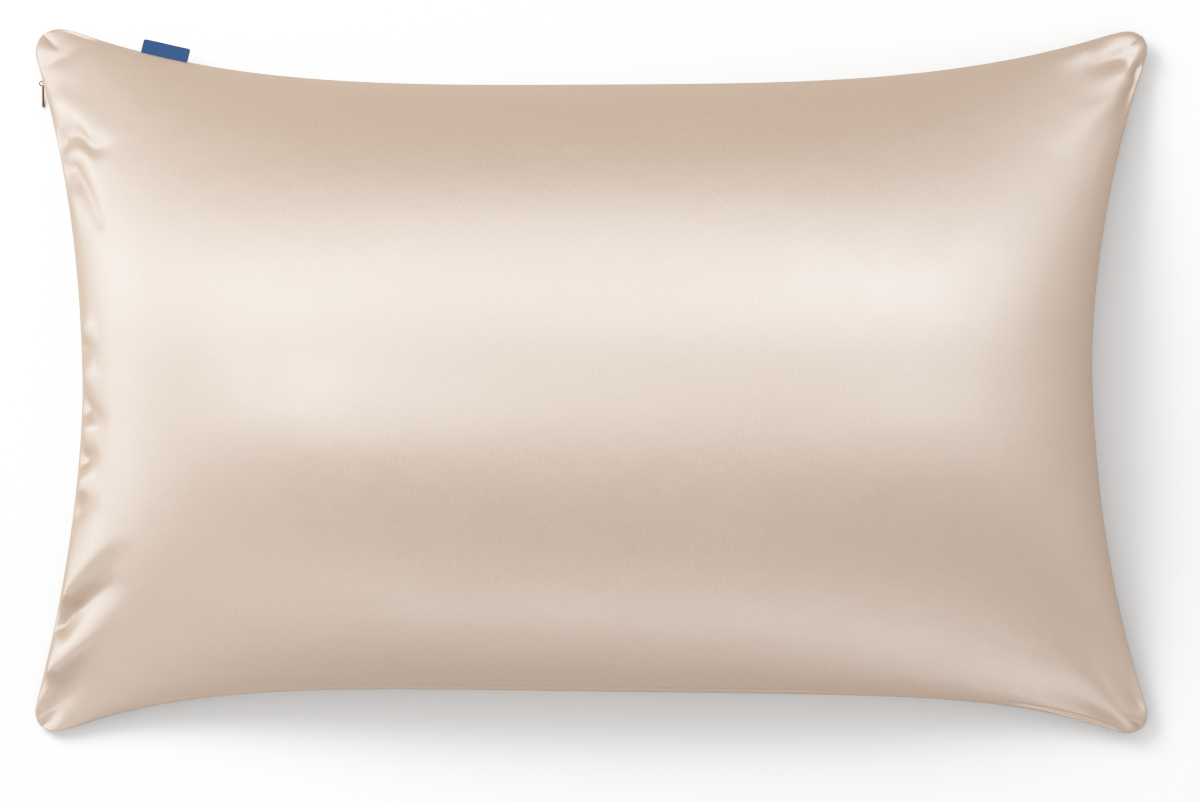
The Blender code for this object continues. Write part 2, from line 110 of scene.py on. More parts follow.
# A fold of the satin: its line in plan from a to b, how far the line bends to its left
# between them, how far the fold reaches to the left and right of the line at a, the
# share of that at b, and its rise out of the surface at each end. A trough has a
# negative rise. A power near 1 gives a sharp crest, and 2 a rounded one.
Fold = namedtuple("Fold", "xa ya xb yb bend left right taper rise_a rise_b power")
FRONT_FOLDS = (
    # across the corner beside the tab
    Fold(-335.0, 234.0, -366.0, 213.5, 3.4, 5.0, 4.6, 1.0, -1.5, -1.4, 1.15),
    Fold(-349.0, 235.0, -358.0, 222.0, 0.0, 6.0, 5.0, 1.0, -1.2, -0.6, 2.0),
    # first arch of the zip side
    Fold(-358.0, 155.0, -334.0, 157.0, 10.5, 7.5, 8.5, 0.6, -6.4, -2.6, 2.0),
    Fold(-357.0, 186.0, -330.0, 168.0, 2.0, 9.0, 8.0, 1.0, 1.8, 0.5, 2.0),
    # long spike below it
    Fold(-346.5, 142.0, -328.5, 108.0, 1.2, 5.0, 7.5, 0.6, -4.8, -1.4, 1.6),
    Fold(-348.0, 122.0, -338.0, 96.0, 0.0, 6.0, 7.0, 1.0, 1.6, 0.0, 2.0),
    # middle of the zip side: small puffs where the seam gathers the satin
    Fold(-339.5, 35.0, -330.0, 38.0, 0.0, 6.5, 5.5, 1.0, 3.6, 0.0, 2.0),
    Fold(-340.5, 22.0, -331.0, 18.0, 0.0, 5.0, 5.5, 1.0, -3.4, -0.6, 2.0),
    Fold(-340.5, 2.0, -328.0, 8.0, 0.0, 6.5, 5.0, 1.2, 5.4, 0.0, 2.0),
    Fold(-341.0, -16.0, -328.0, -26.0, 0.0, 5.0, 5.0, 1.0, -6.5, -2.0, 1.8),
    Fold(-340.5, -33.0, -332.0, -27.0, 0.0, 5.0, 4.6, 1.0, 4.6, 0.0, 2.0),
    Fold(-340.5, -52.0, -328.0, -47.0, 0.0, 5.0, 5.5, 1.0, -6.5, -0.6, 1.9),
    Fold(-342.0, -69.0, -330.0, -61.0, 0.0, 7.0, 6.0, 1.0, 5.0, 0.0, 2.0),
    Fold(-343.0, -86.0, -326.0, -80.0, 0.0, 6.0, 6.0, 1.0, -3.6, 0.0, 2.0),
    # lower part of the zip side
    Fold(-349.0, -141.0, -312.0, -98.0, 3.0, 13.0, 7.5, 1.0, 9.5, 0.0, 2.0),
    Fold(-356.0, -163.0, -321.0, -136.0, 1.0, 5.0, 7.5, 1.1, -7.4, -1.2, 1.9),
    Fold(-361.5, -162.5, -356.5, -172.0, 0.0, 2.0, 2.4, 1.0, 1.8, 0.8, 1.4),
    Fold(-359.0, -191.0, -319.0, -159.0, 1.5, 9.0, 7.0, 1.2, 8.0, 0.0, 2.0),
    Fold(-366.0, -223.0, -330.0, -190.0, 0.0, 7.0, 9.0, 1.0, -5.0, 0.0, 2.0),
    Fold(-369.0, -229.0, -360.0, -236.0, 0.0, 4.0, 3.0, 1.0, 1.2, 0.8, 1.6),
    # upper plain corner
    Fold(368.0, 226.0, 312.0, 152.0, 5.0, 6.0, 10.0, 1.4, 3.6, 0.0, 2.0),
    Fold(370.0, 209.0, 352.0, 168.0, 0.0, 6.0, 5.0, 1.1, -4.4, 0.0, 2.0),
    Fold(363.0, 201.0, 349.0, 176.0, 0.0, 3.0, 4.0, 1.3, 2.0, 0.0, 1.8),
    Fold(356.0, 218.0, 341.0, 212.0, 0.0, 7.0, 5.0, 1.0, -4.6, -1.5, 2.0),
    Fold(366.0, 236.0, 350.0, 233.0, 0.0, 4.0, 5.0, 1.0, 1.2, 0.6, 2.0),
    Fold(331.0, 222.0, 321.0, 217.0, 0.0, 6.0, 6.0, 1.0, 1.8, 1.2, 2.0),
    Fold(356.0, 196.0, 326.0, 188.0, 0.0, 7.0, 9.0, 1.0, -1.6, 0.0, 2.0),
    # lower plain corner
    Fold(358.0, -224.0, 300.0, -176.0, -4.0, 9.0, 9.0, 1.5, 3.4, 0.0, 2.0),
    Fold(368.0, -216.0, 332.0, -150.0, 0.0, 7.0, 8.0, 1.3, -3.6, 0.0, 2.0),
    Fold(350.0, -232.0, 296.0, -208.0, 0.0, 6.0, 6.0, 1.0, -1.8, 0.0, 2.0),
)
# The underside isn't seen from above: plain gathers at the zip side and two corners.
BACK_FOLDS = (
    Fold(-352.0, 168.0, -318.0, 140.0, 0.0, 6.0, 6.0, 1.0, -5.0, 0.0, 1.8),
    Fold(-348.0, 148.0, -312.0, 122.0, 2.0, 7.0, 7.0, 1.0, 4.0, 0.0, 2.0),
    Fold(-341.0, 62.0, -308.0, 52.0, 0.0, 6.0, 6.0, 1.0, -4.0, 0.0, 1.8),
    Fold(-340.0, 8.0, -305.0, 6.0, 1.5, 7.0, 7.0, 1.0, 4.0, 0.0, 2.0),
    Fold(-341.0, -38.0, -306.0, -32.0, 0.0, 6.0, 6.0, 1.0, -4.5, 0.0, 1.8),
    Fold(-346.0, -96.0, -314.0, -74.0, 0.0, 7.0, 7.0, 1.0, 4.5, 0.0, 2.0),
    Fold(-356.0, -150.0, -318.0, -118.0, -2.0, 6.0, 6.0, 1.0, -6.0, 0.0, 1.8),
    Fold(-361.0, -176.0, -326.0, -146.0, 0.0, 7.0, 7.0, 1.0, 4.0, 0.0, 2.0),
    Fold(350.0, 205.0, 312.0, 166.0, 3.0, 8.0, 8.0, 1.0, 4.0, 0.0, 2.0),
    Fold(350.0, -208.0, 312.0, -166.0, -3.0, 8.0, 8.0, 1.0, 4.0, 0.0, 2.0),
)
EVEN_SHARE = 0.35           # across Y the cells are this even, the rest crowds to the seams
FOLD_START = 1.5            # a fold has its whole rise this far inside the edge
RIM_KEPT = 6.0              # folds move the satin only up or down at the edge, so that the
                            # outline stays smooth, and fully out of its surface from here,
                            # or from half as far where a trough takes it inwards
OUTWARD_KEPT = 0.6          # and outwards by no more than this share of the way to the edge
CORNER_REACH = 24.0         # the satin is evened out this far round each tip,
CORNER_FULL = 8.0           # and most within this,
CORNER_PASSES = 24          # in this many passes, each of which takes a point
CORNER_PULL = 0.5           # this share of the way to the middle of its neighbours
CORNER_LEAST = 0.01         # a point with a smaller weight stays where it is
FLOOR_CLEARANCE = 4.0       # folds of the underside fade out this near the floor
RIM_SAMPLES = 801           # points along each side, from which the form's size is taken
RIM_MERGE = 1e-6            # metres: rim points of the two panels this near become one

# The seam's needle line shows just inside the lower edge, between these values of u.
SEAM_STRETCHES = ((-0.56, 0.44), (0.72, 0.95))
SEAM_INSET = 3.0            # inside the edge
SEAM_WIDTH = 0.75           # of the groove that the needle line presses
SEAM_DEPTH = 0.55
SEAM_FADE = 0.05            # of u, at the ends of a stretch
PUCKER_RISE = 0.16          # the satin puckers a little where the seam gathers it
PUCKER_REACH = 9.0          # inside the edge
PUCKER_WAVES = (71.0, 113.0, 167.0)  # uneven: three waves along u that don't repeat

# --------------------------------------------------- tab, slider and pull, as in the frame

TAB_LENGTH = 33.0           # along the seam
TAB_REACH = 8.7             # out from the seam
TAB_AT = -0.746             # u of its middle
TAB_DROOP = radians(8.0)
TAB_IN_SEAM = 0.9           # how far its ends go into the seam
TAB_PARTING = 0.3           # between its two layers
TAB_WAVE = 0.22             # how far its layers bulge apart
TAB_SWING = 0.3             # share by which that varies along the seam
TAB_RIPPLE = 0.35           # share of it by which both layers ripple along the seam
TAB_WORN = 0.5              # how far its outer corners are worn in
TAB_WORN_FROM = 0.93        # share of its half length beyond which they are
TAB_SKEW = 0.01             # share by which its turn lies askew along the seam
TAB_CELLS = (88, 60)        # round the fold, and along the seam
GAP = 0.3                   # between pieces that touch
EDGE_ANGLE = radians(40.0)  # an edge that turns more than this is shaded as an edge

SLIDER_AT = 0.801           # v of the slider
SLIDER_STRETCH = 0.01       # of v, each way: the seam's direction is taken over this
SLIDER_BELOW_SEAM = 3.6
RING_OUTSIDE_SEAM = 1.0     # middle of the pull's ring, out from the seam
RING_RADIUS = 1.65          # to the middle of its wire
RING_WIRE = 0.45
BAR_REACH = 15.7            # length of the bar as seen from above
BAR_SIDESTEP = 0.6          # the bar's line, inwards of the ring's middle
BAR_RADIUS_AT_RING = 0.75
BAR_RADIUS_AT_TIP = 1.05
BAR_ROUNDING = 0.62         # of the bar's two ends
BAR_ROUND_STEPS = 6
BAR_SIDES = 40
RING_CELLS = (64, 20)       # round the ring, and round its wire
TIP_ABOVE_FLOOR = 0.4


def spread(low, high, t):
    """Value at t, which runs from -1 to 1."""
    return low + (high - low) * (1.0 + t) / 2.0


def bow(side, t):
    """Draw-in of a side at t, which runs from -1 to 1 between its corners."""
    power = np.where(t < 0.0, side.low_power, side.high_power)
    return (side.draw_in + side.lean * t) * (1.0 - np.abs(t) ** power)


def sharp_plan(u, v):
    """Plan position of panel points, before the corners are rounded."""
    upper_zip, upper_plain = CORNERS[(-1, 1)], CORNERS[(1, 1)]
    lower_zip, lower_plain = CORNERS[(-1, -1)], CORNERS[(1, -1)]
    left = spread(lower_zip.x, upper_zip.x, v) + bow(ZIP_SIDE, v)
    right = spread(lower_plain.x, upper_plain.x, v) - bow(PLAIN_SIDE, v)
    bottom = spread(lower_zip.y, lower_plain.y, u) + bow(BOTTOM_SIDE, u)
    top = spread(upper_zip.y, upper_plain.y, u) - bow(TOP_SIDE, u)
    return np.stack([spread(left, right, u), spread(bottom, top, v)], axis=-1)


def plan(u, v):
    """Plan position of panel points. Beyond a corner's centre, distances from it
    shrink so that the two sides become one arc."""
    points = sharp_plan(u, v)
    for (sign_u, sign_v), corner in CORNERS.items():
        tip = sharp_plan(np.float64(sign_u), np.float64(sign_v))
        step = 2.0 * corner.radius
        along_x = sharp_plan(sign_u * (1.0 - step / abs(corner.x)), np.float64(sign_v)) - tip
        along_y = sharp_plan(np.float64(sign_u), sign_v * (1.0 - step / abs(corner.y))) - tip
        along_x /= np.linalg.norm(along_x)
        along_y /= np.linalg.norm(along_y)
        inward = (along_x + along_y) / np.linalg.norm(along_x + along_y)
        half_angle = acos(float(along_x @ along_y)) / 2.0
        centre = tip + inward * corner.radius / sin(half_angle)
        arm = points - centre
        reach = np.maximum(np.linalg.norm(arm, axis=-1), 1e-9)
        off_bisector = np.arccos(np.clip(-(arm @ inward) / reach, -1.0, 1.0))
        to_side = pi / 2.0 - half_angle
        near = (off_bisector < to_side) & (u * sign_u >= 0.0) & (v * sign_v >= 0.0)
        shrink = np.where(near, np.cos(to_side - off_bisector), 1.0)
        points = centre + arm * shrink[..., None]
    return points


def seam_height(u, v):
    """Height of the seams, carried on across the panel: high along the sides, low at
    the corners, which droop towards the floor."""
    long_power, long_turn = LONG_RISE
    short_power, short_turn = SHORT_RISE
    along = np.maximum(0.0, 1.0 - np.abs(u) ** long_power) ** long_turn
    across = np.maximum(0.0, 1.0 - np.abs(v) ** short_power) ** short_turn
    share = 1.0 - (1.0 - along) * (1.0 - across)
    low = spread(
        spread(CORNERS[(-1, -1)].height, CORNERS[(-1, 1)].height, v),
        spread(CORNERS[(1, -1)].height, CORNERS[(1, 1)].height, v),
        u,
    )
    high = SHORT_SEAM_HEIGHT + (LONG_SEAM_HEIGHT - SHORT_SEAM_HEIGHT) * along
    return low + (high - low) * share


def fullness(u, v):
    """How far a panel stands off the seams: 0 on them, 1 at the middle."""
    along = np.maximum(0.0, 1.0 - np.abs(u) ** LONG_ROUNDNESS)
    across = np.maximum(0.0, 1.0 - np.abs(v) ** SHORT_ROUNDNESS)
    return along ** LONG_TURN * across ** SHORT_TURN


def front_points(u, v):
    crown = (CASE_BOX[1].z - CASE_BOX[0].z) / MM - LONG_SEAM_HEIGHT
    height = seam_height(u, v) + crown * fullness(u, v)
    return np.concatenate([plan(u, v), height[..., None]], axis=-1)


def back_points(u, v):
    clear = np.maximum(0.0, 1.0 - fullness(u, v) / CONTACT)
    height = seam_height(u, v) * clear ** UNDERSIDE_TURN
    return np.concatenate([plan(u, v), height[..., None]], axis=-1)


def fold_rise(folds, points):
    """Rise of the folds at plan points: each falls away on both sides of its line, and
    fades past its ends."""
    rise = np.zeros(len(points))
    for fold in folds:
        start = np.array([fold.xa, fold.ya])
        run = np.array([fold.xb, fold.yb]) - start
        length = np.linalg.norm(run)
        leftward = np.array([-run[1], run[0]]) / length
        t = (points - start) @ run / length ** 2
        inside = np.clip(t, 0.0, 1.0)
        aside = (points - start) @ leftward - 4.0 * fold.bend * inside * (1.0 - inside)
        reach = np.where(aside > 0.0, fold.left, fold.right) * (1.0 + (fold.taper - 1.0) * inside)
        past_end = (t - inside) * length / min(fold.left, fold.right)
        height = fold.rise_a + (fold.rise_b - fold.rise_a) * inside
        rise += height * 2.0 ** -((np.abs(aside) / reach) ** fold.power + past_end ** 2)
    return rise


def rim_inset(u, v):
    """How far inside the edge a panel point lies, roughly, as seen from above."""
    half = (CASE_BOX[1] - CASE_BOX[0]) / 2.0 / MM
    return np.minimum((1.0 - np.abs(u)) * half.x, (1.0 - np.abs(v)) * half.y)


def seam_relief(u, v, inset):
    """The seam's needle line inside the lower edge, and the faint puckers all along
    the long seams."""
    shows = np.zeros_like(u)
    for start, end in SEAM_STRETCHES:
        shows += smooth_step((u - start) / SEAM_FADE) * smooth_step((end - u) / SEAM_FADE)
    line = np.where(v < 0.0, shows, 0.0) * np.exp(-((inset - SEAM_INSET) / SEAM_WIDTH) ** 2)
    wave = sum(np.sin(count * u + count * np.sign(v)) for count in PUCKER_WAVES) / len(PUCKER_WAVES)
    pucker = wave * (inset / PUCKER_REACH) * np.exp(1.0 - inset / PUCKER_REACH)
    fade = np.exp(-(inset / PUCKER_REACH) ** 2 / 4.0)
    return PUCKER_RISE * pucker * fade - SEAM_DEPTH * line


def smooth_step(t):
    t = np.clip(t, 0.0, 1.0)
    return t * t * (3.0 - 2.0 * t)


def frame_shift():
    """Moves the form's plan to where the frame holds the case, in millimetres."""
    t = np.linspace(-1.0, 1.0, RIM_SAMPLES)
    one = np.ones_like(t)
    rim = np.concatenate([plan(t, one), plan(t, -one), plan(one, t), plan(-one, t)])
    form_middle = (rim.min(axis=0) + rim.max(axis=0)) / 2.0
    frame_middle = (CASE_BOX[0] + CASE_BOX[1]) / 2.0 / MM
    return np.array([frame_middle.x - form_middle[0], frame_middle.y - form_middle[1], 0.0])


def seam_frame(u, v, step_u, step_v):
    """Point on the seam in the frame, its direction there, and the way out of the case."""
    spots = np.array([[u, v], [u - step_u, v - step_v], [u + step_u, v + step_v]])
    here, before, after = (Vector(p) for p in front_points(spots[:, 0], spots[:, 1]) + frame_shift())
    along = (after - before).normalized()
    outward = Vector((-along.y, along.x, 0.0)).normalized()
    if outward.dot(here) < 0.0:
        outward = -outward
    return here, along, outward


# ------------------------------------------------------------------- mesh helpers

def deselect_all():
    for item in bpy.context.view_layer.objects:
        item.select_set(False)


def only(piece):
    """Selects one piece and makes it active."""
    deselect_all()
    piece.select_set(True)
    bpy.context.view_layer.objects.active = piece


def named(piece, name):
    piece.name = name
    piece.data.name = name
    return piece


def apply_place(piece):
    """Leaves the piece's object at the origin, with its place in its mesh."""
    only(piece)
    bpy.ops.object.transform_apply(location=True, rotation=True, scale=True)


def matrix_of(x_axis, y_axis, z_axis, origin):
    turn = Matrix((x_axis, y_axis, z_axis)).transposed().to_4x4()
    return Matrix.Translation(origin * MM) @ turn


# --------------------------------------------------------------------- materials
# Pattern sizes are millimetres.

THREADS_PER_METRE = 11200.0  # satin threads are 0.09 mm apart, too fine to show,
STREAK_THREADS = 8.0        # so they are drawn as streaks of this many,
STREAK_LENGTH = 6.25        # each as long as an uneven stretch of the yarn
GRAIN_SIZE = 1.613          # glints of the floats, real ones about 1 mm and too fine to show
SHEEN_CLOUD_SIZE = 38.5     # patches where the cloth was pressed a little smoother
FILLING_SIZE = 20.0         # tufts of the pillow's filling under the satin
RIB_SPACING = 0.982         # ribs of the ribbon, real ones about 0.3 mm and too fine to show
FUZZ_SIZE = 0.667           # thick and thin spots of the ribbon's yarn, drawn coarser too
PLATING_CLOUD_SIZE = 1.111  # dull patches in the brass plating; the polished ones between them carry painted dark reflections
THREAD_RELIEF = 0.0002      # metres, from the top of a thread to the ground beside it
SHEEN_CLOUD_SPREAD = 0.03   # of roughness, each way
MIX_DARK, MIX_LIGHT, MIXED = 6, 7, 2  # the Mix node's colour sockets


def per_metre(size):
    """A texture node's scale, from the size of its pattern in millimetres."""
    return 1.0 / (size * MM)


def linear(hex_colour):
    """An sRGB hex colour as the linear values that a shader takes."""
    parts = [int(hex_colour[i:i + 2], 16) / 255.0 for i in (1, 3, 5)]
    return tuple(c / 12.92 if c <= 0.04045 else ((c + 0.055) / 1.055) ** 2.4 for c in parts)


def new_material(name):
    material = bpy.data.materials.new(name)
    material.use_nodes = True
    return material, material.node_tree, material.node_tree.nodes["Principled BSDF"]


def add_node(tree, kind, settings=None, links=None):
    """Adds a node. settings gives its properties and its sockets' values, and links
    the output that each of its sockets is fed from."""
    node = tree.nodes.new(kind)
    for key, value in (settings or {}).items():
        if isinstance(key, int) or key in node.inputs:
            node.inputs[key].default_value = value
        else:
            setattr(node, key, value)
    for key, source in (links or {}).items():
        tree.links.new(source, node.inputs[key])
    return node


def satin_material(settings):
    """Polyester charmeuse satin: long warp floats on the face, so it shines broadly
    across the threads and stays soft along them, and its colour pales in the light."""
    material, tree, shader = new_material("Champagne charmeuse satin")
    uv = add_node(tree, "ShaderNodeUVMap", {"uv_map": "Cloth"})
    # the threads run along Y
    threads = add_node(
        tree, "ShaderNodeMapping",
        {"Scale": (THREADS_PER_METRE / STREAK_THREADS, per_metre(STREAK_LENGTH), 1.0)},
        {"Vector": uv.outputs["UV"]},
    )
    streaks = add_node(
        tree, "ShaderNodeTexNoise", {"Scale": 1.0, "Detail": 3.0, "Roughness": 0.6},
        {"Vector": threads.outputs["Vector"]},
    )
    grain = add_node(
        tree, "ShaderNodeTexNoise",
        {"Scale": per_metre(GRAIN_SIZE), "Detail": 3.0, "Roughness": 0.65},
        {"Vector": uv.outputs["UV"]},
    )
    weave = add_node(
        tree, "ShaderNodeMath", {"operation": "ADD"},
        {0: streaks.outputs["Fac"], 1: grain.outputs["Fac"]},
    )
    # painted glints and painted shade: the floats' sheen is painted as a paler colour and the ground
    # between them as a darker one, and the sum of the two patterns lies mostly between these values
    glint_share = add_node(
        tree, "ShaderNodeMapRange", {"From Min": 0.7, "From Max": 1.3}, {"Value": weave.outputs[0]}
    )
    colour = add_node(
        tree, "ShaderNodeMix",
        {"data_type": "RGBA", MIX_DARK: (*settings.satin_painted_shade, 1.0),
         MIX_LIGHT: (*settings.satin_painted_glint, 1.0)},
        {0: glint_share.outputs["Result"]},
    )
    # the shine is a little uneven over a hand's breadth
    cloud = add_node(
        tree, "ShaderNodeTexNoise",
        {"Scale": per_metre(SHEEN_CLOUD_SIZE), "Detail": 3.0, "Roughness": 0.55},
        {"Vector": uv.outputs["UV"]},
    )
    rough = add_node(
        tree, "ShaderNodeMapRange",
        {"From Min": 0.3, "From Max": 0.7,
         "To Min": settings.satin_roughness - SHEEN_CLOUD_SPREAD,
         "To Max": settings.satin_roughness + SHEEN_CLOUD_SPREAD},
        {"Value": cloud.outputs["Fac"]},
    )
    # the filling shows through the satin as a soft unevenness
    filling = add_node(
        tree, "ShaderNodeTexNoise",
        {"Scale": per_metre(FILLING_SIZE), "Detail": 1.0, "Roughness": 0.4},
        {"Vector": uv.outputs["UV"]},
    )
    height = add_node(
        tree, "ShaderNodeMath", {"operation": "MULTIPLY_ADD", 1: settings.filling_strength},
        {0: filling.outputs["Fac"], 2: weave.outputs[0]},
    )
    bump = add_node(
        tree, "ShaderNodeBump",
        {"Strength": settings.weave_strength, "Distance": THREAD_RELIEF},
        {"Height": height.outputs[0]},
    )
    tangent = add_node(tree, "ShaderNodeTangent", {"direction_type": "UV_MAP", "uv_map": "Cloth"})
    tree.links.new(colour.outputs[MIXED], shader.inputs["Base Color"])
    tree.links.new(rough.outputs["Result"], shader.inputs["Roughness"])
    tree.links.new(bump.outputs["Normal"], shader.inputs["Normal"])
    tree.links.new(tangent.outputs["Tangent"], shader.inputs["Tangent"])
    # polyester has an IOR of 1.6, but its packed floats mirror more than one flat
    # surface does, so both values are raised until the shine matches the satin's
    shader.inputs["IOR"].default_value = 2.1
    shader.inputs["Specular IOR Level"].default_value = 1.0
    # the floats spread the shine across themselves
    shader.inputs["Anisotropic"].default_value = 0.6
    return material


def ribbon_material(settings):
    """Woven polyester ribbon: a dense matt weave with a fine rib for each weft."""
    material, tree, shader = new_material("Woven polyester ribbon")
    uv = add_node(tree, "ShaderNodeUVMap", {"uv_map": "Cloth"})
    # a wave texture repeats every 2 pi / 20 of its unit
    ribs = add_node(
        tree, "ShaderNodeTexWave",
        {"wave_type": "BANDS", "bands_direction": "Y",
         "Scale": 2.0 * pi / 20.0 * per_metre(RIB_SPACING), "Distortion": 0.6, "Detail": 1.0},
        {"Vector": uv.outputs["UV"]},
    )
    fuzz = add_node(
        tree, "ShaderNodeTexNoise", {"Scale": per_metre(FUZZ_SIZE), "Detail": 2.0},
        {"Vector": uv.outputs["UV"]},
    )
    height = add_node(
        tree, "ShaderNodeMath", {"operation": "ADD"},
        {0: ribs.outputs["Fac"], 1: fuzz.outputs["Fac"]},
    )
    # the thin spots of the yarn are darker
    dark = tuple(0.72 * c for c in settings.tab_colour)
    colour = add_node(
        tree, "ShaderNodeMix",
        {"data_type": "RGBA", MIX_DARK: (*dark, 1.0), MIX_LIGHT: (*settings.tab_colour, 1.0)},
        {0: fuzz.outputs["Fac"]},
    )
    bump = add_node(
        tree, "ShaderNodeBump", {"Strength": 0.5, "Distance": THREAD_RELIEF},
        {"Height": height.outputs[0]},
    )
    tree.links.new(colour.outputs[MIXED], shader.inputs["Base Color"])
    tree.links.new(bump.outputs["Normal"], shader.inputs["Normal"])
    # short crossing threads scatter the light, so it has next to no shine
    shader.inputs["Roughness"].default_value = 0.8
    shader.inputs["Specular IOR Level"].default_value = 0.2
    return material


def brass_material(settings):
    """Antique brass plating: polished, browned by its lacquer, a little cloudy."""
    material, tree, shader = new_material("Antique brass plating")
    place = add_node(tree, "ShaderNodeTexCoord")
    cloud = add_node(
        tree, "ShaderNodeTexNoise", {"Scale": per_metre(PLATING_CLOUD_SIZE), "Detail": 3.0},
        {"Vector": place.outputs["Object"]},
    )
    # painted reflection: the polished patches are painted darker, standing in for the dark surroundings
    # that they mirror more
    dark = tuple(0.6 * c for c in settings.brass_colour)
    colour = add_node(
        tree, "ShaderNodeMix",
        {"data_type": "RGBA", MIX_DARK: (*dark, 1.0), MIX_LIGHT: (*settings.brass_colour, 1.0)},
        {0: cloud.outputs["Fac"]},
    )
    # where the plating is dull it blurs what it mirrors
    rough = add_node(
        tree, "ShaderNodeMapRange", {"To Min": 0.22, "To Max": 0.42}, {"Value": cloud.outputs["Fac"]}
    )
    tree.links.new(colour.outputs[MIXED], shader.inputs["Base Color"])
    tree.links.new(rough.outputs["Result"], shader.inputs["Roughness"])
    shader.inputs["Metallic"].default_value = 1.0
    return material


def paper_material(settings):
    """Matt white paper, which gives the case a plain pale ground. It is drawn darker to
    the case than to the camera, as the case lies outside the beams that whiten it."""
    material, tree, shader = new_material("Matt white paper")
    path = add_node(tree, "ShaderNodeLightPath")
    colour = add_node(
        tree, "ShaderNodeMix",
        {"data_type": "RGBA", MIX_DARK: (*settings.floor_bounce, 1.0),
         MIX_LIGHT: (*settings.floor_colour, 1.0)},
        {0: path.outputs["Is Camera Ray"]},
    )
    tree.links.new(colour.outputs[MIXED], shader.inputs["Base Color"])
    shader.inputs["Roughness"].default_value = 0.9
    return material


# --------------------------------------------------------------------- settings

class CaseSettings(bpy.types.PropertyGroup):
    # painted glint: the sheen of the satin's raised floats, painted into this paler colour
    satin_painted_glint: FloatVectorProperty(
        name="Satin", description="Colour of the satin's raised threads", subtype="COLOR",
        size=3, min=0.0, max=1.0, default=linear("#A88C75"),
    )
    # painted shade: the ground between the satin's floats, painted into this darker colour
    satin_painted_shade: FloatVectorProperty(
        name="Satin between threads", description="Colour between the satin's threads",
        subtype="COLOR", size=3, min=0.0, max=1.0, default=linear("#9A7F69"),
    )
    satin_roughness: FloatProperty(
        name="Roughness", description="How far the satin spreads its shine", min=0.0, max=1.0,
        subtype="FACTOR", default=0.42,
    )
    weave_strength: FloatProperty(
        name="Weave", description="Strength of the weave's relief", min=0.0, max=1.0,
        subtype="FACTOR", default=0.35,
    )
    filling_strength: FloatProperty(
        name="Filling", description="How strongly the filling's unevenness shows in the satin",
        min=0.0, max=20.0, subtype="FACTOR", default=2.5,
    )
    cells_along: IntProperty(
        name="Cells along", description="Cells of a panel along its long side", min=20, default=168
    )
    cells_across: IntProperty(
        name="Cells across", description="Cells of a panel along its short side", min=20, default=294
    )


class TrimSettings(bpy.types.PropertyGroup):
    tab_colour: FloatVectorProperty(
        name="Ribbon", description="Colour of the tab's ribbon", subtype="COLOR",
        size=3, min=0.0, max=1.0, default=linear("#284872"),
    )
    tab_layer: FloatProperty(
        name="Ribbon thickness", description="Thickness of one layer of the ribbon",
        unit="LENGTH", subtype="DISTANCE", min=0.0001, default=0.0006,
    )
    brass_colour: FloatVectorProperty(
        name="Brass", description="Colour of the slider and pull", subtype="COLOR",
        size=3, min=0.0, max=1.0, default=linear("#A88058"),
    )


class StageSettings(bpy.types.PropertyGroup):
    floor_colour: FloatVectorProperty(
        name="Floor", description="Colour of the floor", subtype="COLOR",
        size=3, min=0.0, max=1.0, default=linear("#F4F4F4"),
    )
    floor_bounce: FloatVectorProperty(
        name="Floor bounce", description="Colour that the floor throws back on the case",
        subtype="COLOR", size=3, min=0.0, max=1.0, default=linear("#BEB8B0"),
    )
    camera_height: FloatProperty(
        name="Camera height", description="Camera above the floor", unit="LENGTH",
        subtype="DISTANCE", min=1.0, default=9.0,
    )


# --------------------------------------------------------------------- the case

def panel(name, points_of, folds, settings, faces_down):
    """One panel of the case, from a grid whose cells crowd towards the seams."""
    deselect_all()
    bpy.ops.mesh.primitive_grid_add(
        x_subdivisions=settings.cells_along, y_subdivisions=settings.cells_across, size=2.0
    )
    made = named(bpy.context.object, name)
    mesh = made.data
    flat = np.empty(len(mesh.vertices) * 3)
    mesh.vertices.foreach_get("co", flat)
    x, y = flat.reshape(-1, 3)[:, :2].T
    u = np.sin(pi / 2.0 * x)
    v = EVEN_SHARE * y + (1.0 - EVEN_SHARE) * np.sin(pi / 2.0 * y)
    points = points_of(u, v)
    mesh.vertices.foreach_set("co", points.ravel())
    if faces_down:
        mesh.flip_normals()
    mesh.update()
    normals = np.empty(len(mesh.vertices) * 3)
    mesh.vertex_normals.foreach_get("vector", normals)
    normals = normals.reshape(-1, 3)
    inset = rim_inset(u, v)
    rise = fold_rise(folds, points[:, :2]) * smooth_step(inset / FOLD_START)
    rise += seam_relief(u, v, inset)
    if faces_down:
        rise *= smooth_step(points[:, 2] / FLOOR_CLEARANCE)
    sideways = np.maximum(np.linalg.norm(normals[:, :2], axis=1) * rise, 1e-6)
    kept = np.where(rise < 0.0, RIM_KEPT / 2.0, RIM_KEPT)
    share = smooth_step(inset / kept) * np.minimum(1.0, OUTWARD_KEPT * inset / sideways)
    normals[:, :2] *= share[:, None]
    points += normals * rise[:, None] + frame_shift()
    mesh.vertices.foreach_set("co", points.ravel() * MM)
    mesh.update()
    mesh.uv_layers[0].name = "Cloth"
    return made


